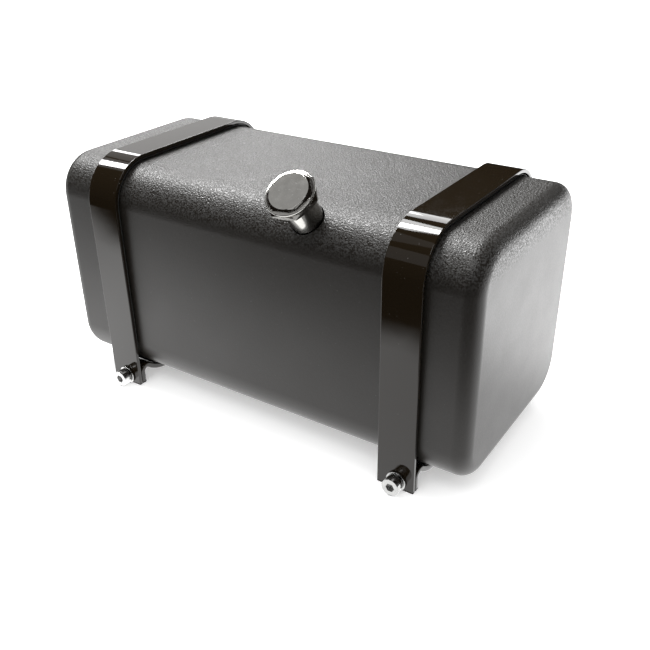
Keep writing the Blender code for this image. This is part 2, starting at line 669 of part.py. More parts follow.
def countersunk(name, grow, end, top, finish=None):
    """A screw with a 45 degree countersunk head, or with grow the hole that clears it."""
    shank = COVER_SCREW_RADIUS + grow
    head = COVER_SCREW_HEAD + grow * math.sqrt(2)
    profile = [(shank, -end), (shank, shank - head - COVER_SCREW_FACE), (head, -COVER_SCREW_FACE)]
    if top > -COVER_SCREW_FACE:
        profile += [(head, top)]
    return turned(name, profile, finish, SMALL_ROUND)


def make_cover():
    cover = cylinder("cleanout_cover", COVER_RADIUS, -COVER_BACK, -COVER_FACE, "tank_plastic", COVER_ROUND)
    low = GAP - COVER_RECESS
    high = low + GASKET_THICKNESS
    inner, outer = COVER_OPENING + GAP, COVER_RADIUS - GAP
    gasket = ring("cleanout_gasket", inner, outer, low, high, "rubber", COVER_ROUND)
    place(COVER_ORIGIN, FACE_LEFT, None, (cover, gasket))
    hole_radius = COVER_SCREW_RADIUS + GAP
    socket_low = -COVER_SCREW_FACE - COVER_SOCKET_DEPTH
    for i, spot in enumerate(cover_screw_spots()):
        hole = countersunk(f"cover_sink_{i + 1}", GAP, COVER_RECESS + OVERRUN, OVERRUN)
        screw = countersunk(f"cover_screw_{i + 1}", 0, COVER_SCREW_END, -COVER_SCREW_FACE, "zinc_steel")
        socket = hexagon(f"cover_socket_{i + 1}", COVER_SCREW_SOCKET, socket_low, OVERRUN)
        through = cylinder(f"gasket_hole_{i + 1}", hole_radius, -COVER_RECESS, 0, sides=SMALL_ROUND)
        place(spot, FACE_LEFT, None, (hole, screw, socket, through))
        cut(screw, socket)
        cut(cover, hole)
        cut(gasket, through)


def main():
    clear_scene()
    filler_axis = make_filler()
    make_tank_shell(filler_axis)
    make_baffle()
    make_port("suction")
    make_port("return")
    make_suction_strainer()
    make_return_tube()
    make_drain()
    make_cover()
    for side in STRAP_X:
        make_strap(side)
    make_clamp_screws()


main()
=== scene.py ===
"""Looks of the strap-mounted hydraulic reservoir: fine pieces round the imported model, materials, studio.

Metres, +Z up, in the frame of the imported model: +X along the tank, -Y its front, z = 0 the floor.
"""
import json
import math

import bmesh
import bpy
from mathutils import Matrix, Vector


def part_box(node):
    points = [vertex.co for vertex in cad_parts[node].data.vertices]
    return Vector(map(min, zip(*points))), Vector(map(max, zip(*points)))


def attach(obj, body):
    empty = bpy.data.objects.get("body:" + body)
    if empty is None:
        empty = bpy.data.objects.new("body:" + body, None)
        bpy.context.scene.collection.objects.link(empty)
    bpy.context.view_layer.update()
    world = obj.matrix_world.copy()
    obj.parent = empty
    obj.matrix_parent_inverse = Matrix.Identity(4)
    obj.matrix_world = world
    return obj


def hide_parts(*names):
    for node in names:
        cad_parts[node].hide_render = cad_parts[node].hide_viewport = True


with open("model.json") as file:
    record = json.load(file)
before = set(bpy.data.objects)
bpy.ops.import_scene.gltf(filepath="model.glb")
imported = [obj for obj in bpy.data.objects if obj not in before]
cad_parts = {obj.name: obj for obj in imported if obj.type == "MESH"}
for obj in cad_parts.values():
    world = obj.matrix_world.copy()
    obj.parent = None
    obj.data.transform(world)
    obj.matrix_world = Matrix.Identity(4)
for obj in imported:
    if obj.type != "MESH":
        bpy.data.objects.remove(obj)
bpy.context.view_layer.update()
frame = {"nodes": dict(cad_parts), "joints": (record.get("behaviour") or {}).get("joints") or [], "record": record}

MM = 0.001

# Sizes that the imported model's boxes don't give
EDGE_RADIUS = 10.5 * MM  # the tank's four long edges
END_RADIUS = 4.0 * MM  # the edges round both end faces
WALL = 2.0 * MM
COVER_WALL = 5.4 * MM  # the left end, which holds the cover
STRAP_THICKNESS = 1.0 * MM
LINER_THICKNESS = 0.4 * MM
RAIL_THICKNESS = 1.5 * MM
RAIL_BEND = 0.85 * MM
RAIL_OFFSET = 0.8 * MM
PAD_THICKNESS = 0.4 * MM
PAD_ANGLE = math.radians(30)
SCREW_HEAD = 2.5 * MM  # height of a clamp screw's head
SCREW_HOLE = 1.4 * MM  # radius of its hole
GAP = 0.2 * MM
OVERRUN = 1.0 * MM  # how far a cutter reaches past the face it cuts
EASED = 0.2 * MM  # radius of an eased sheet-metal edge

# Studio: angles in degrees; each soft box is azimuth, elevation and brightness
CAMERA_ANGLES = 33.85, 28.71, -0.8217
CAMERA_DISTANCE = 227.2 * MM
CAMERA_OFFSET = 4.5 * MM, 14.74 * MM
CAMERA_LENS = 45.6
FLOOR_REACH = 1500 * MM
BOX_DISTANCE = 900 * MM
BOX_SIZE = 320 * MM
SOFT_BOXES = [(60, 60, 9.8), (180, 60, 4.5), (30, 35, 5.2), (64, 12, 0.6), (330, 35, 0.9), (90, 35, 0.72)]
SOFT_BOXES += [(60, 35, 0.63), (180, 35, 0.47), (210, 35, 0.36), (150, 35, 0.35), (0, 12, 0.26)]
SOFT_BOXES += [(44, 15, 1.1), (121, 56, 0.34)]
FLOOR_FILL = 0.32
CARD_HEIGHT = 0.3 * MM

# Where the lit paper ends in front of the tank, x and y in millimetres
PAPER_EDGE = [(-900, -420), (-166, -128), (-128, -109), (-90, -104), (-50, -88), (-12, -96), (14, -100)]
PAPER_EDGE += [(60, -82), (120, -58), (900, -58)]

TANK_LOW, TANK_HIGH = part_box("tank_shell")
TANK_MIDDLE = (TANK_LOW + TANK_HIGH) / 2
EDGE_Y = TANK_HIGH.y - EDGE_RADIUS
EDGE_HIGH = TANK_HIGH.z - EDGE_RADIUS
EDGE_LOW = TANK_LOW.z + EDGE_RADIUS

# Filler: heights along its axis are from the cap joint's place
FILLER_TILT = math.radians(38.7)
CAP_JOINT = next(joint for joint in frame["joints"] if joint["type"] == "hinge")
FILLER_AXIS = Matrix.Translation(Vector(CAP_JOINT["pos_m"])) @ Matrix.Rotation(FILLER_TILT, 4, "X")
HEX_TURN = math.radians(5.6)

FACE_FRONT = Matrix.Rotation(math.pi / 2, 4, "X")
FACE_REAR = Matrix.Rotation(-math.pi / 2, 4, "X")
FACE_LEFT = Matrix.Rotation(-math.pi / 2, 4, "Y")
CLAMP_ENDS = (("front", FACE_FRONT), ("rear", FACE_REAR))


def seat_of(node, turn, x=None, y=None, z=None):
    """Where a turned piece stands: the middle of a node's box, with the values given put in its place."""
    low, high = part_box(node)
    middle = (low + high) / 2
    spot = [middle[i] if value is None else value for i, value in enumerate((x, y, z))]
    return Matrix.Translation(spot) @ turn


PORTS = {port: seat_of(f"{port}_seal", FACE_REAR, y=TANK_HIGH.y) for port in ("suction", "return")}
DRAIN = seat_of("drain_plug", Matrix(), z=TANK_LOW.z)
COVER = seat_of("cleanout_cover", FACE_LEFT, x=TANK_LOW.x)


# Nodes for materials


class Look:
    """A Principled material and short ways to wire procedural detail into it."""

    def __init__(self, name, colour, roughness, metallic=0.0):
        self.material = bpy.data.materials.new(name)
        self.material.use_nodes = True
        self.tree = self.material.node_tree
        self.shader = self.tree.nodes["Principled BSDF"]
        self.shader.inputs["Base Color"].default_value = (*colour, 1.0)
        self.shader.inputs["Roughness"].default_value = roughness
        self.shader.inputs["Metallic"].default_value = metallic
        self.place = self.node("ShaderNodeTexCoord").outputs["Object"]

    def node(self, kind):
        return self.tree.nodes.new(kind)

    def link(self, source, target):
        self.tree.links.new(source, target)

    def noise(self, size, detail, roughness=0.5):
        """Noise from 0 to 1 whose features measure about size."""
        made = self.node("ShaderNodeTexNoise")
        made.inputs["Scale"].default_value = 1 / size
        made.inputs["Detail"].default_value = detail
        made.inputs["Roughness"].default_value = roughness
        self.link(self.place, made.inputs["Vector"])
        return made.outputs["Fac"]

    def height(self):
        """Height over the floor, for pieces modelled in place."""
        made = self.node("ShaderNodeSeparateXYZ")
        self.link(self.place, made.inputs["Vector"])
        return made.outputs["Z"]

    def cells(self, size):
        """Distance from the middles of soft-edged cells of about size."""
        made = self.node("ShaderNodeTexVoronoi")
        made.feature = "SMOOTH_F1"
        made.inputs["Scale"].default_value = 1 / size
        self.link(self.place, made.inputs["Vector"])
        return made.outputs["Distance"]

    def spread(self, value, low, high, start, end):
        """value from start..end mapped to low..high."""
        made = self.node("ShaderNodeMapRange")
        made.inputs["From Min"].default_value = start
        made.inputs["From Max"].default_value = end
        made.inputs["To Min"].default_value = low
        made.inputs["To Max"].default_value = high
        self.link(value, made.inputs["Value"])
        return made.outputs["Result"]

    def math(self, operation, a, b):
        """One operation on two values, each a number or a socket."""
        made = self.node("ShaderNodeMath")
        made.operation = operation
        for socket, value in zip(made.inputs, (a, b)):
            if isinstance(value, (int, float)):
                socket.default_value = value
            else:
                self.link(value, socket)
        return made.outputs["Value"]

    def colours(self, factor, first, second):
        """Base colour from first to second as factor goes from 0 to 1."""
        made = self.node("ShaderNodeMix")
        made.data_type = "RGBA"
        for socket in made.inputs:
            if socket.type == "RGBA":
                socket.default_value = (*(first if socket.name == "A" else second), 1.0)
        mixed = next(socket for socket in made.outputs if socket.type == "RGBA")
        self.link(factor, made.inputs["Factor"])
        self.link(mixed, self.shader.inputs["Base Color"])

    def roughen(self, value):
        self.link(value, self.shader.inputs["Roughness"])

    def bump(self, height, distance, strength=1.0, under=None):
        """Relief whose full height is distance, laid over the relief under it."""
        made = self.node("ShaderNodeBump")
        made.inputs["Distance"].default_value = distance
        made.inputs["Strength"].default_value = strength
        self.link(height, made.inputs["Height"])
        if under:
            self.link(under, made.inputs["Normal"])
        self.link(made.outputs["Normal"], self.shader.inputs["Normal"])
        return made.outputs["Normal"]


def tank_plastic():
    """Black moulded plastic: spark-eroded grain on the top and its edges, smoother sides."""
    black, grey = (0.009, 0.007, 0.005), (0.030, 0.029, 0.027)
    look = Look("moulded_black_plastic", black, 0.42)
    smooth_below, grained_above = (EDGE_HIGH + share * EDGE_RADIUS for share in (0.10, 0.55))
    grained = look.spread(look.height(), 0.10, 1.0, smooth_below, grained_above)
    sand = look.math("SUBTRACT", look.noise(0.36 * MM, 0.0), 0.5)
    pits = look.math("MULTIPLY", look.math("SUBTRACT", look.cells(0.42 * MM), 0.45), 0.4)
    relief = look.math("MULTIPLY", look.math("ADD", sand, pits), grained)
    look.bump(relief, 0.11 * MM)
    speckle = look.spread(look.noise(0.40 * MM, 0.0), -0.10, 0.18, 0.35, 0.65)
    cloud = look.spread(look.noise(9 * MM, 3.0), 0.395, 0.425, 0.3, 0.7)
    look.roughen(look.math("ADD", cloud, look.math("MULTIPLY", speckle, grained)))
    dots = look.spread(look.noise(0.40 * MM, 0.0), 0.0, 1.0, 0.35, 0.65)
    dust = look.spread(look.noise(0.9 * MM, 3.0, 0.6), 0.0, 1.0, 0.70, 0.76)
    look.colours(look.math("ADD", look.math("MULTIPLY", dots, grained), dust), black, grey)
    return look.material


def strap_enamel():
    """Gloss black enamel on steel strip, with dust and faint ripples."""
    black, dust_grey = (0.008, 0.0055, 0.003), (0.12, 0.115, 0.11)
    look = Look("gloss_black_enamel", black, 0.05)
    ripple = look.bump(look.noise(6 * MM, 1.0), 0.02 * MM, 0.5)
    look.bump(look.noise(0.3 * MM, 2.0), 0.004 * MM, 0.25, ripple)
    dust = look.spread(look.noise(0.6 * MM, 3.0, 0.6), 0.0, 1.0, 0.70, 0.75)
    look.colours(dust, black, dust_grey)
    look.roughen(look.spread(look.noise(3 * MM, 4.0), 0.035, 0.065, 0.3, 0.7))
    return look.material


def black_rubber():
    look = Look("black_rubber", (0.012, 0.012, 0.012), 0.75)
    look.bump(look.noise(0.25 * MM, 3.0), 0.03 * MM, 0.5)
    look.colours(look.noise(1.5 * MM, 3.0), (0.009, 0.009, 0.009), (0.020, 0.020, 0.019))
    return look.material


def bright_nickel():
    """Polished nickel plating with a few specks."""
    look = Look("bright_nickel", (0.66, 0.65, 0.62), 0.09, 1.0)
    wave = look.bump(look.noise(2.5 * MM, 1.0), 0.01 * MM, 0.3)
    look.bump(look.noise(0.35 * MM, 2.0), 0.003 * MM, 0.3, wave)
    look.roughen(look.spread(look.noise(1.6 * MM, 3.0), 0.07, 0.12, 0.3, 0.7))
    specks = look.spread(look.noise(0.7 * MM, 2.0), 0.0, 1.0, 0.66, 0.74)
    look.colours(specks, (0.64, 0.63, 0.60), (0.90, 0.90, 0.88))
    return look.material


def zinc_steel():
    look = Look("zinc_plated_steel", (0.48, 0.48, 0.48), 0.20, 1.0)
    look.bump(look.noise(0.25 * MM, 3.0), 0.006 * MM, 0.5)
    look.roughen(look.spread(look.noise(0.9 * MM, 3.0), 0.14, 0.30, 0.3, 0.7))
    look.colours(look.noise(1.0 * MM, 3.0), (0.40, 0.40, 0.40), (0.56, 0.56, 0.55))
    return look.material


def turned_brass():
    look = Look("turned_brass", (0.70, 0.50, 0.22), 0.25, 1.0)
    look.bump(look.noise(0.2 * MM, 3.0), 0.006 * MM, 0.5)
    look.roughen(look.spread(look.noise(1.1 * MM, 3.0), 0.18, 0.34, 0.3, 0.7))
    look.colours(look.noise(1.4 * MM, 3.0), (0.60, 0.42, 0.17), (0.76, 0.56, 0.26))
    return look.material


def red_fibre():
    look = Look("red_fibre", (0.28, 0.05, 0.03), 0.7)
    look.bump(look.noise(0.15 * MM, 3.0), 0.02 * MM, 0.5)
    look.colours(look.noise(0.4 * MM, 3.0), (0.22, 0.04, 0.02), (0.34, 0.07, 0.04))
    return look.material


def white_nylon():
    look = Look("natural_nylon", (0.75, 0.74, 0.68), 0.45)
    look.bump(look.noise(0.3 * MM, 3.0), 0.01 * MM, 0.5)
    look.colours(look.noise(2.0 * MM, 3.0), (0.70, 0.69, 0.63), (0.80, 0.79, 0.74))
    return look.material


LOOKS = {
    "tank_plastic": tank_plastic(),
    "strap_enamel": strap_enamel(),
    "rubber": black_rubber(),
    "bright_nickel": bright_nickel(),
    "zinc_steel": zinc_steel(),
    "brass": turned_brass(),
    "fibre_seal": red_fibre(),
    "nylon": white_nylon(),
}


# Shapes


def mesh_object(name, points, faces):
    mesh = bpy.data.meshes.new(name)
    mesh.from_pydata([tuple(point) for point in points], [], faces)
    shape = bmesh.new()
    shape.from_mesh(mesh)
    bmesh.ops.recalc_face_normals(shape, faces=shape.faces)
    shape.to_mesh(mesh)
    shape.free()
    obj = bpy.data.objects.new(name, mesh)
    bpy.context.scene.collection.objects.link(obj)
    return obj


def bridged(rings):
    """Faces between successive rings of the same number of points."""
    count = len(rings[0])
    faces = []
    for low, high in zip(rings, rings[1:]):
        for i in range(count):
            j = (i + 1) % count
            faces.append((low[i], low[j], high[j], high[i]))
    return faces


def arc(centre, radius, start, end, steps):
    turns = [start + (end - start) * i / steps for i in range(steps + 1)]
    return [(centre[0] + radius * math.cos(a), centre[1] + radius * math.sin(a)) for a in turns]


def eased(profile, radius, steps, closed=False):
    """The profile with each corner rounded by up to radius."""
    count = len(profile)
    made = []
    for i, corner in enumerate(profile):
        here = Vector(corner)
        before = Vector(profile[i - 1]) - here
        after = Vector(profile[(i + 1) % count]) - here
        at_end = not closed and i in (0, count - 1)
        if at_end or before.length == 0 or after.length == 0:
            made.append(corner)
            continue
        reach = min(radius, before.length * 0.45, after.length * 0.45)
        start = here + before.normalized() * reach
        end = here + after.normalized() * reach
        for k in range(steps + 1):
            t = k / steps
            made.append(tuple((1 - t) ** 2 * start + 2 * t * (1 - t) * here + t * t * end))
    return made


def turned(name, profile, sides=96, hollow=False):
    """A profile (radius, height) turned about Z. Flat discs close it, or with hollow its own last side."""
    points = []
    rings = []
    for radius, height in profile:
        rings.append(list(range(len(points), len(points) + sides)))
        for i in range(sides):
            turn = 2 * math.pi * i / sides
            points.append((radius * math.cos(turn), radius * math.sin(turn), height))
    if hollow:
        faces = bridged(rings + [rings[0]])
    else:
        faces = bridged(rings) + [tuple(rings[0]), tuple(rings[-1])]
    return mesh_object(name, points, faces)


def lathe(name, outline, ease, sides=96, hollow=False):
    """A turned piece from an outline (radius, height) in millimetres, with its corners eased."""
    profile = eased([(radius * MM, height * MM) for radius, height in outline], ease * MM, 3, hollow)
    return turned(name, profile, sides, hollow)


def cutter(outline, place, sides=96):
    """A turned cutter, set round by half a side so that its corners miss those of the piece it cuts."""
    return moved(lathe("cutter", outline, 0, sides), place @ Matrix.Rotation(math.pi / sides, 4, "Z"))


def hexagon(name, across_flats, low, high, turn=0.0):
    radius = across_flats / math.sqrt(3)
    angles = [turn + math.pi * i / 3 for i in range(6)]
    points = [(radius * math.cos(a), radius * math.sin(a), z) for z in (low, high) for a in angles]
    rings = [list(range(6)), list(range(6, 12))]
    return mesh_object(name, points, bridged(rings) + [tuple(rings[0]), tuple(rings[1])])


def boolean(obj, other, operation):
    """Applies the Boolean at once and removes the other object."""
    modifier = obj.modifiers.new("boolean", "BOOLEAN")
    modifier.operation = operation
    modifier.solver = "EXACT"
    modifier.object = other
    bake(obj)
    bpy.data.objects.remove(other)
    return obj


def chamfered_hexagon(name, across_flats, low, high, turn):
    """A hexagon whose corners are turned down to a 30 degree cone on both faces."""
    bar = hexagon(name, across_flats, low, high, turn)
    face, corner = across_flats / 2 * 0.98, across_flats / math.sqrt(3)
    drop = (corner - face) * math.tan(math.radians(30))
    outline = [(face, low), (corner, low + drop), (corner, high - drop), (face, high)]
    return boolean(bar, turned("cone", outline, 144), "INTERSECT")


def moved(obj, matrix):
    obj.data.transform(matrix)
    return obj


def bake(obj):
    """Replaces the mesh by what its modifiers make of it."""
    bpy.context.view_layer.update()
    graph = bpy.context.evaluated_depsgraph_get()
    made = bpy.data.meshes.new_from_object(obj.evaluated_get(graph))
    obj.modifiers.clear()
    obj.data = made


def bevelled(obj, width, angle):
    modifier = obj.modifiers.new("bevel", "BEVEL")
    modifier.width = width
    modifier.segments = 2
    modifier.limit_method = "ANGLE"
    modifier.angle_limit = math.radians(angle)
    bake(obj)
    return obj


def smooth(obj, angle=35):
    """Smooth shading whose normals follow the large faces."""
    obj.data.shade_smooth()
    obj.data.set_sharp_from_angle(angle=math.radians(angle))
    modifier = obj.modifiers.new("normals", "WEIGHTED_NORMAL")
    modifier.keep_sharp = True
    bake(obj)
    return obj


def finish_piece(obj, slot, body, *nodes):
    """Gives the piece its material and its body, and hides the CAD nodes that it stands for."""
    obj.data.materials.clear()
    obj.data.materials.append(LOOKS[slot])
    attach(obj, body)
    if nodes:
        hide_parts(*nodes)


# Tank


def rounded_outline(half_width, half_height, radius, steps):
    y, z = half_width - radius, half_height - radius
    quarter = math.pi / 2
    outline = []
    for i, centre in enumerate(((y, z), (-y, z), (-y, -z), (y, -z))):
        outline += arc(centre, radius, i * quarter, (i + 1) * quarter, steps)
    return outline


def rounded_box(name, x_low, x_high, inset, end_radius, edge_steps, end_steps, spans):
    """A bar along X of the tank's section, made smaller by inset, with its end edges rounded."""
    half_width = (TANK_HIGH.y - TANK_LOW.y) / 2 - inset
    half_height = (TANK_HIGH.z - TANK_LOW.z) / 2 - inset
    turns = [math.pi / 2 * i / end_steps for i in range(end_steps + 1)]
    stations = [(end_radius * (1 - math.sin(a)), end_radius * (1 - math.cos(a))) for a in turns]
    places = [(x_low + along, pull) for along, pull in reversed(stations)]
    inner_low, inner_high = x_low + end_radius, x_high - end_radius
    places += [(inner_low + (inner_high - inner_low) * i / spans, 0.0) for i in range(1, spans)]
    places += [(x_high - along, pull) for along, pull in stations]
    points = []
    rings = []
    for x, pull in places:
        radius = EDGE_RADIUS - inset - pull
        outline = rounded_outline(half_width - pull, half_height - pull, radius, edge_steps)
        rings.append(list(range(len(points), len(points) + len(outline))))
        points += [(x, y, TANK_MIDDLE.z + z) for y, z in outline]
    return mesh_object(name, points, bridged(rings) + [tuple(rings[0]), tuple(rings[-1])])


def tank_cavity():
    """The oil space, less the bosses moulded round the filler neck and the drain."""
    cavity = rounded_box(
        "cavity", TANK_LOW.x + COVER_WALL, TANK_HIGH.x - WALL, WALL, END_RADIUS - WALL, 12, 5, 1
    )
    boolean(cavity, cutter([(6.2, 4.8), (6.2, 10.5)], FILLER_AXIS), "DIFFERENCE")
    return boolean(cavity, cutter([(5.0, 0.0), (5.0, 7.0)], DRAIN), "DIFFERENCE")


def tank_holes():
    """Every hole through the shell, most of them countersunk where they meet the outside."""
    filler = [(3.4, 3.6), (3.4, 6.0), (4.2, 6.0), (4.2, 10.1), (4.9, 10.8), (4.9, 11.5)]
    drain = [(4.5, -1.0), (3.2, 0.3), (3.2, 5.2), (1.6, 5.2), (1.6, 8.0)]
    port = [(3.2, -3.0), (3.2, -0.2), (4.4, 1.0)]
    cover = [(13.0, -6.4), (13.0, -2.8), (18.4, -2.8), (18.4, -0.25), (19.65, 1.0)]
    holes = [cutter(filler, FILLER_AXIS), cutter(drain, DRAIN, 64), cutter(cover, COVER, 160)]
    holes += [cutter(port, place) for place in PORTS.values()]
    holes += [cutter([(1.05, -4.7), (1.05, -2.0)], spot, 32) for spot in cover_screw_places()]
    return holes


def make_tank():
    """The moulded shell, hollow, with its holes."""
    tank = rounded_box("tank_body", TANK_LOW.x, TANK_HIGH.x, 0, END_RADIUS, 24, 14, 40)
    boolean(tank, tank_cavity(), "DIFFERENCE")
    for hole in tank_holes():
        boolean(tank, hole, "DIFFERENCE")
    smooth(tank)
    finish_piece(tank, "tank_plastic", "reservoir", "tank_shell")


# Straps and rails


def across_front_and_back(path):
    return path + [(-y, z) for y, z in reversed(path)]


def over_tank(offset, foot):
    """A path up the front, over the top and down the back, at a distance from the tank."""
    side = TANK_HIGH.y + offset
    corner = arc((-EDGE_Y, EDGE_HIGH), EDGE_RADIUS + offset, math.pi, math.pi / 2, 32)
    legs = [(-side, foot + (EDGE_HIGH - foot) * i / 12) for i in range(12)]
    return across_front_and_back(legs + corner)


def strip(name, outer, inner, x_middle, width, ease):
    """A strip bent along two matching paths (y, z), one for each face, with eased long edges."""
    points = []
    rings = []
    for outside, inside in zip(outer, inner):
        out, into = Vector((0, *outside)), Vector((0, *inside))
        thickness = (into - out).length
        half = width / 2
        section = eased([(-half, 0), (half, 0), (half, thickness), (-half, thickness)], ease, 3, True)
        rings.append(list(range(len(points), len(points) + len(section))))
        for across, deep in section:
            point = out + (into - out) * (deep / thickness)
            points.append((x_middle + across, point.y, point.z))
    return mesh_object(name, points, bridged(rings) + [tuple(rings[0]), tuple(rings[-1])])


def rail_path(offset, bend_radius, tab_y):
    """One face of a rail: the end tab, the bend at its top, and the run under the tank."""
    arm = EDGE_RADIUS + RAIL_OFFSET + RAIL_THICKNESS + RAIL_BEND
    bend_y = tab_y - RAIL_THICKNESS - RAIL_BEND
    climb = math.asin((bend_y - EDGE_Y) / arm)
    bend_z = EDGE_LOW - arm * math.cos(climb)
    tab = [(-bend_y - bend_radius, bend_z * i / 3) for i in range(3)]
    bend = arc((-bend_y, bend_z), bend_radius, math.pi, math.pi / 2 - climb, 12)
    under = arc((-EDGE_Y, EDGE_LOW), EDGE_RADIUS + offset, -math.pi / 2 - climb, -math.pi / 2, 24)
    return across_front_and_back(tab + bend + under[1:])


def pad_path(offset):
    corner = (-EDGE_Y, EDGE_LOW)
    turns = arc(corner, EDGE_RADIUS + offset, -math.pi / 2 - PAD_ANGLE, -math.pi / 2, 16)
    return across_front_and_back(turns)


def clamp_holes(obj, side):
    """Cuts the clamp screws' holes."""
    for end, turn in CLAMP_ENDS:
        low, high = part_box(f"clamp_screw_{end}_{side}")
        middle = (low + high) / 2
        hole = turned("clamp_hole", [(SCREW_HOLE, -4 * MM), (SCREW_HOLE, 4 * MM)], 64)
        boolean(obj, moved(hole, Matrix.Translation(middle) @ turn), "DIFFERENCE")
    return obj


def make_band(name, outer, inner, node, slot, ease, side=None):
    """A bent strip in the place of a node, with screw holes where side names its strap."""
    low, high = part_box(node)
    band = strip(name, outer, inner, (low.x + high.x) / 2, high.x - low.x, ease)
    if side:
        clamp_holes(band, side)
    smooth(band)
    finish_piece(band, slot, "reservoir", node)


def make_strap(side):
    """A strap, its rubber liner, the rail under the tank and the rail's rubber pad."""
    low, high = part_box(f"strap_{side}")
    outer = high.y - TANK_HIGH.y
    inner = outer - STRAP_THICKNESS
    path = over_tank(outer, low.z), over_tank(inner, low.z)
    make_band(f"strap_band_{side}", *path, f"strap_{side}", "strap_enamel", EASED, side)
    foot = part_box(f"strap_liner_{side}")[0].z
    path = over_tank(GAP + LINER_THICKNESS, foot), over_tank(GAP, foot)
    make_band(f"strap_lining_{side}", *path, f"strap_liner_{side}", "rubber", EASED)
    tab_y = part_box(f"rail_{side}")[1].y
    outer = rail_path(RAIL_OFFSET, RAIL_THICKNESS + RAIL_BEND, tab_y)
    inner = rail_path(RAIL_OFFSET + RAIL_THICKNESS, RAIL_BEND, tab_y)
    make_band(f"rail_band_{side}", outer, inner, f"rail_{side}", "strap_enamel", 2 * EASED, side)
    path = pad_path(GAP), pad_path(GAP + PAD_THICKNESS)
    make_band(f"rail_padding_{side}", *path, f"rail_pad_{side}", "rubber", EASED)


# Filler


def make_cap():
    """Screw cap: shank, polished collar and low hexagon chamfered to a round face."""
    collar_low, collar_high, top = 19.85, 20.35, 21.05
    outline = [(2.65, 14.35), (2.65, collar_low), (5.95, collar_low)]
    outline += [(5.95, collar_high), (4.2, collar_high)]
    profile = eased([(r * MM, z * MM) for r, z in outline], 0.18 * MM, 4)
    cap = turned("filler_cap_body", profile)
    low, high, face, side = collar_low * MM, top * MM, 4.7 * MM, 5.3 * MM
    head = hexagon("cap_head", 9.9 * MM, low + GAP, high, HEX_TURN)
    cone = [(side, low), (side, high - (side - face) / math.sqrt(3)), (face, high)]
    boolean(head, turned("cap_chamfer", cone, 144), "INTERSECT")
    boolean(cap, head, "UNION")
    bevelled(cap, 0.07 * MM, 20)
    smooth(cap, 25)
    finish_piece(moved(cap, FILLER_AXIS), "bright_nickel", "cap_turn", "filler_cap")


def make_neck():
    """Filler neck: spigot, shank, and a hexagon flange on top; bored through."""
    outline = [(3.2, 4.6), (3.2, 6.8), (4.0, 6.8), (4.0, 19.2)]
    outline += [(2.85, 19.2), (2.85, 12.5), (2.35, 12.5), (2.35, 4.6)]
    neck = turned("filler_neck_body", [(r * MM, z * MM) for r, z in outline], 96, True)
    flange = chamfered_hexagon("neck_flange", 11.0 * MM, 17.9 * MM, 19.2 * MM, HEX_TURN)
    boolean(flange, lathe("flange_bore", [(3.4, 17.0), (3.4, 20.0)], 0), "DIFFERENCE")
    boolean(neck, flange, "UNION")
    bevelled(neck, 0.08 * MM, 25)
    smooth(neck, 25)
    finish_piece(moved(neck, FILLER_AXIS), "bright_nickel", "reservoir", "filler_neck")


def make_ring(name, inner, outer, low, high, place, node, slot, body="reservoir"):
    """A washer or seal from its radii and heights in millimetres."""
    outline = [(inner, low), (outer, low), (outer, high), (inner, high)]
    made = smooth(lathe(name, outline, 0.1, 72, True), 40)
    finish_piece(moved(made, place), slot, body, node)


def make_filler_seals():
    make_ring("neck_sealing_ring", 3.4, 4.0, 6.2, 6.6, FILLER_AXIS, "neck_seal", "rubber")
    make_ring(
        "cap_sealing_ring", 3.05, 5.3, 19.4, 19.65, FILLER_AXIS, "filler_cap_seal", "rubber", "cap_lift"
    )


# Screws


def make_clamp_screw(end, side, turn):
    """A socket-head screw and its washer."""
    low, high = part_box(f"clamp_screw_{end}_{side}")
    middle = (low + high) / 2
    head = SCREW_HEAD / MM
    shank = (high.y - low.y) / MM - head
    screw = lathe(f"socket_screw_{end}_{side}", [(1.2, -shank), (1.2, 0), (2.25, 0), (2.25, head)], 0.3)
    boolean(screw, hexagon("socket", 2.0 * MM, SCREW_HEAD / 2, SCREW_HEAD + OVERRUN), "DIFFERENCE")
    bevelled(screw, 0.06 * MM, 30)
    smooth(screw, 30)
    seat = low.y + SCREW_HEAD if end == "front" else high.y - SCREW_HEAD
    place = Matrix.Translation((middle.x, seat, middle.z)) @ turn
    finish_piece(moved(screw, place), "zinc_steel", "reservoir", f"clamp_screw_{end}_{side}")
    node = f"clamp_washer_{end}_{side}"
    make_ring(f"plain_washer_{end}_{side}", 1.4, 2.6, -0.7, -0.2, place, node, "zinc_steel")


# Ports, drain and cover


def make_port(port, place):
    """A bulkhead fitting with a barbed stem, and the seal under its hexagon."""
    reach = (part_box(f"{port}_fitting")[1].y - TANK_HIGH.y) / MM
    outline = [(3.0, -7.0), (3.0, 3.4), (2.4, 3.4), (2.4, 3.9), (1.9, 3.9), (1.9, reach - 1.2)]
    outline += [(2.3, reach - 1.2), (1.7, reach)]
    fitting = lathe(f"{port}_barbed_fitting", outline, 0.12)
    nut = chamfered_hexagon("fitting_hex", 10.0 * MM, 1.0 * MM, 3.4 * MM, math.pi / 6)
    boolean(fitting, nut, "UNION")
    bore = lathe("fitting_bore", [(2.3, -8.0), (2.3, -4.5), (1.3, -4.5), (1.3, reach + 1.0)], 0, 64)
    boolean(fitting, bore, "DIFFERENCE")
    bevelled(fitting, 0.06 * MM, 28)
    smooth(fitting, 28)
    finish_piece(moved(fitting, place), "brass", "reservoir", f"{port}_fitting")
    make_ring(f"{port}_sealing_ring", 3.2, 4.8, 0.2, 0.8, place, f"{port}_seal", "fibre_seal")


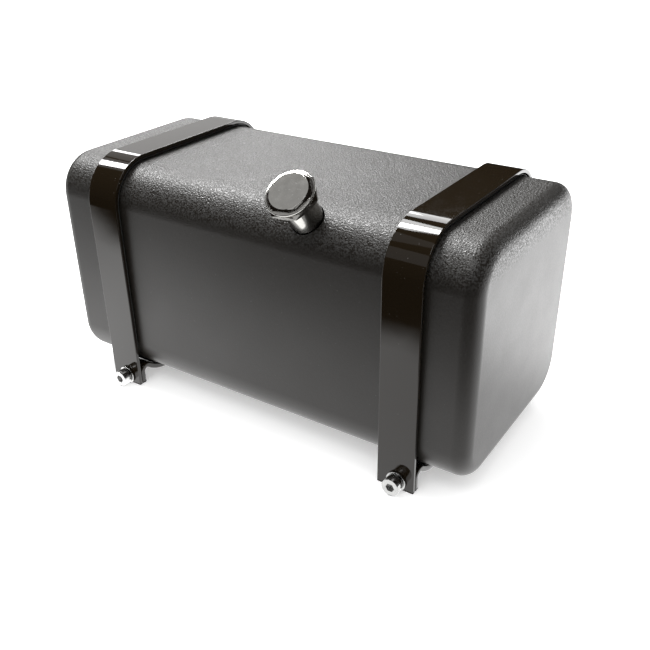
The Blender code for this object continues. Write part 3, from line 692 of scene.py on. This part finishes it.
def make_drain():
    """The flush drain plug with its socket."""
    plug = lathe("drain_plug_body", [(3.0, 0.2), (3.0, 4.2)], 0.25)
    boolean(plug, hexagon("socket", 3.0 * MM, -OVERRUN, 2.2 * MM), "DIFFERENCE")
    bevelled(plug, 0.08 * MM, 30)
    smooth(plug, 30)
    finish_piece(moved(plug, DRAIN), "zinc_steel", "reservoir", "drain_plug")


def cover_screw_places():
    """Six places evenly round the cover's middle."""
    radius = 15.7 * MM
    turns = [2 * math.pi * (i + 0.5) / 6 for i in range(6)]
    return [COVER @ Matrix.Translation((radius * math.cos(a), radius * math.sin(a), 0)) for a in turns]


def make_cover():
    """The flush clean-out cover with a moulded groove and six countersunk screws."""
    outline = [(18.2, -1.7), (18.2, -0.1), (12.9, -0.1), (12.7, -0.5), (11.9, -0.5), (11.7, -0.1)]
    cover = moved(lathe("cleanout_cover_disc", outline, 0.12, 160), COVER)
    for i, spot in enumerate(cover_screw_places()):
        sink = [(1.05, -3.8), (1.05, -1.433), (2.183, -0.3), (2.183, 1.0)]
        boolean(cover, moved(lathe("cover_sink", sink, 0, 64), spot), "DIFFERENCE")
        make_cover_screw(i + 1, spot)
    smooth(cover)
    finish_piece(cover, "tank_plastic", "reservoir", "cleanout_cover")


def make_cover_screw(number, spot):
    """A countersunk screw with a hexagon socket."""
    outline = [(0.85, -4.5), (0.85, -1.35), (1.9, -0.3), (0.8, -0.3)]
    screw = lathe(f"countersunk_screw_{number}", outline, 0.08, 48)
    boolean(screw, hexagon("socket", 1.3 * MM, -1.0 * MM, OVERRUN), "DIFFERENCE")
    smooth(screw, 30)
    finish_piece(moved(screw, spot), "zinc_steel", "reservoir", f"cover_screw_{number}")


# Studio


def make_camera():
    """The view from the right of the front, a little above."""
    azimuth, elevation, roll = (math.radians(angle) for angle in CAMERA_ANGLES)
    flat = math.cos(elevation)
    forward = Vector((-math.sin(azimuth) * flat, math.cos(azimuth) * flat, -math.sin(elevation)))
    right = Vector((math.cos(azimuth), math.sin(azimuth), 0))
    up = right.cross(forward)
    right, up = (
        math.cos(roll) * right + math.sin(roll) * up,
        math.cos(roll) * up - math.sin(roll) * right,
    )
    target = Vector((0, 0, TANK_MIDDLE.z))
    aside, below = CAMERA_OFFSET
    place = target - forward * CAMERA_DISTANCE + right * aside - up * below
    data = bpy.data.cameras.new("camera")
    data.sensor_width = 36.0
    data.lens = CAMERA_LENS
    data.clip_start = 0.01
    data.clip_end = 20.0
    camera = bpy.data.objects.new("camera", data)
    turn = Matrix((right, up, -forward)).transposed()
    camera.matrix_world = Matrix.Translation(place) @ turn.to_4x4()
    bpy.context.scene.collection.objects.link(camera)
    bpy.context.scene.camera = camera


def area_light(name, middle, along, out, length, width, radiance):
    """A flat light facing against out. radiance is its brightness as seen."""
    data = bpy.data.lights.new(name, "AREA")
    data.shape = "RECTANGLE"
    data.size, data.size_y = length, width
    data.energy = radiance * math.pi * length * width
    light = bpy.data.objects.new(name, data)
    light.visible_camera = False
    turn = Matrix((along, out.cross(along), out)).transposed()
    light.matrix_world = Matrix.Translation(middle) @ turn.to_4x4()
    bpy.context.scene.collection.objects.link(light)


def strip_light(name, start, end, width, radiance):
    """A long light from start to end (mm), facing the tank."""
    start, end = Vector(start) * MM, Vector(end) * MM
    middle = (start + end) / 2
    along = (end - start).normalized()
    out = middle - Vector((0, 0, TANK_MIDDLE.z))
    out = (out - out.dot(along) * along).normalized()
    area_light(name, middle, along, out, (end - start).length, width * MM, radiance)


def soft_box(azimuth, elevation, radiance):
    """A square light facing the tank; azimuth in degrees from the rear towards the left."""
    turn, climb = math.radians(azimuth), math.radians(elevation)
    along = Vector((math.cos(turn), math.sin(turn), 0))
    out = Vector((-math.sin(turn) * math.cos(climb), math.cos(turn) * math.cos(climb), math.sin(climb)))
    middle = Vector((0, 0, TANK_MIDDLE.z)) + out * BOX_DISTANCE
    area_light(f"soft_box_{azimuth}_{elevation}", middle, along, out, BOX_SIZE, BOX_SIZE, radiance)


def background(tree, colour):
    made = tree.nodes.new("ShaderNodeBackground")
    made.inputs["Color"].default_value = (*colour, 1.0)
    return made.outputs["Background"]


def make_world():
    """White to the camera and for the diffuse light, dark in reflections."""
    world = bpy.data.worlds.new("studio")
    bpy.context.scene.world = world
    world.use_nodes = True
    tree = world.node_tree
    tree.nodes.clear()
    path = tree.nodes.new("ShaderNodeLightPath")
    mix = tree.nodes.new("ShaderNodeMixShader")
    tree.links.new(path.outputs["Is Glossy Ray"], mix.inputs["Fac"])
    tree.links.new(background(tree, (1.0, 1.0, 1.0)), mix.inputs[1])
    tree.links.new(background(tree, (0.010, 0.008, 0.006)), mix.inputs[2])
    out = tree.nodes.new("ShaderNodeOutputWorld")
    tree.links.new(mix.outputs["Shader"], out.inputs["Surface"])


def make_floor():
    """White paper, itself a little bright; reflections see the glow card over it instead."""
    half = FLOOR_REACH
    corners = [(-half, -half, 0), (half, -half, 0), (half, half, 0), (-half, half, 0)]
    floor = mesh_object("studio_floor", corners, [(0, 1, 2, 3)])
    look = Look("studio_paper", (0.9, 0.9, 0.9), 0.9)
    look.colours(look.noise(60 * MM, 3.0), (0.89, 0.89, 0.89), (0.91, 0.91, 0.91))
    look.shader.inputs["Emission Color"].default_value = (1.0, 1.0, 1.0, 1.0)
    look.shader.inputs["Emission Strength"].default_value = FLOOR_FILL
    floor.data.materials.append(look.material)
    floor.visible_glossy = False
    floor.visible_diffuse = False
    floor.visible_shadow = False


def step(value, start, end):
    """0 before start, 1 after end, smooth between them."""
    t = min(max((value - start) / (end - start), 0.0), 1.0)
    return t * t * (3 - 2 * t)


def room_edge(x):
    """How far forward (mm) the lit paper reaches at x, before the dark of the room."""
    for (x0, y0), (x1, y1) in zip(PAPER_EDGE, PAPER_EDGE[1:]):
        if x <= x1:
            return y0 + (y1 - y0) * (max(x, x0) - x0) / (x1 - x0)
    return PAPER_EDGE[-1][1]


def glow(x, y):
    """Brightness of the lit paper in reflections, at x and y in millimetres."""
    base, edge = 1.5, room_edge(x)
    front = base + math.exp(-(((x + 75) / 60) ** 2)) - 0.7 * step(x, 70, 130)
    front *= step(y, edge - 6, edge + 12)
    right = (1.8 + 2.2 * step(y, 15, 60)) * (1 - 0.45 * step(x, 90, 400))
    side = base + (right - base) * step(x, 40, 65)
    return front + (side - front) * step(y, -34, -24)


def glow_material():
    """Emission as strong as the mesh's own glow value."""
    material = bpy.data.materials.new("glow_card")
    material.use_nodes = True
    tree = material.node_tree
    tree.nodes.clear()
    level = tree.nodes.new("ShaderNodeAttribute")
    level.attribute_name = "glow"
    emission = tree.nodes.new("ShaderNodeEmission")
    tree.links.new(level.outputs["Fac"], emission.inputs["Strength"])
    out = tree.nodes.new("ShaderNodeOutputMaterial")
    tree.links.new(emission.outputs["Emission"], out.inputs["Surface"])
    material.cycles.emission_sampling = "NONE"
    return material


def make_glow_card():
    """The lit paper as reflections see it: bright round the tank, dark beyond the paper's front edge."""
    count, crowding, reach = 160, 4.0, FLOOR_REACH / MM
    shares = [2 * i / count - 1 for i in range(count + 1)]
    ticks = [reach * math.sinh(crowding * share) / math.sinh(crowding) for share in shares]
    row = count + 1
    points = [(x * MM, y * MM, CARD_HEIGHT) for y in ticks for x in ticks]
    cells = [j * row + i for j in range(count) for i in range(count)]
    card = mesh_object("glow_card", points, [(k, k + 1, k + row + 1, k + row) for k in cells])
    levels = card.data.attributes.new("glow", "FLOAT", "POINT")
    levels.data.foreach_set("value", [glow(x, y) for y in ticks for x in ticks])
    card.data.materials.append(glow_material())
    card.visible_camera = False
    card.visible_diffuse = False
    card.visible_shadow = False


def make_studio():
    make_camera()
    make_world()
    make_floor()
    make_glow_card()
    strip_light("thin_strip", (-470, 262, 289), (-215, 450, 358), 60, 11.5)
    strip_light("thick_strip", (-600, -40, 528), (-190, 155, 706), 110, 40.0)
    for azimuth, elevation, radiance in SOFT_BOXES:
        soft_box(azimuth, elevation, radiance)
    bpy.context.scene.view_settings.view_transform = "Standard"


def dress_cad_nodes():
    """Materials on the CAD nodes, of which the inner ones stay to be seen."""
    slots = {part["node"]: part["material_slot"] for part in frame["record"]["subparts"]}
    for name, node in frame["nodes"].items():
        node.data.materials.clear()
        node.data.materials.append(LOOKS[slots[name]])


def main():
    make_studio()
    make_tank()
    for side in ("left", "right"):
        make_strap(side)
        for end, turn in CLAMP_ENDS:
            make_clamp_screw(end, side, turn)
    make_cap()
    make_neck()
    make_filler_seals()
    for port, place in PORTS.items():
        make_port(port, place)
    make_drain()
    make_cover()
    dress_cad_nodes()


main()
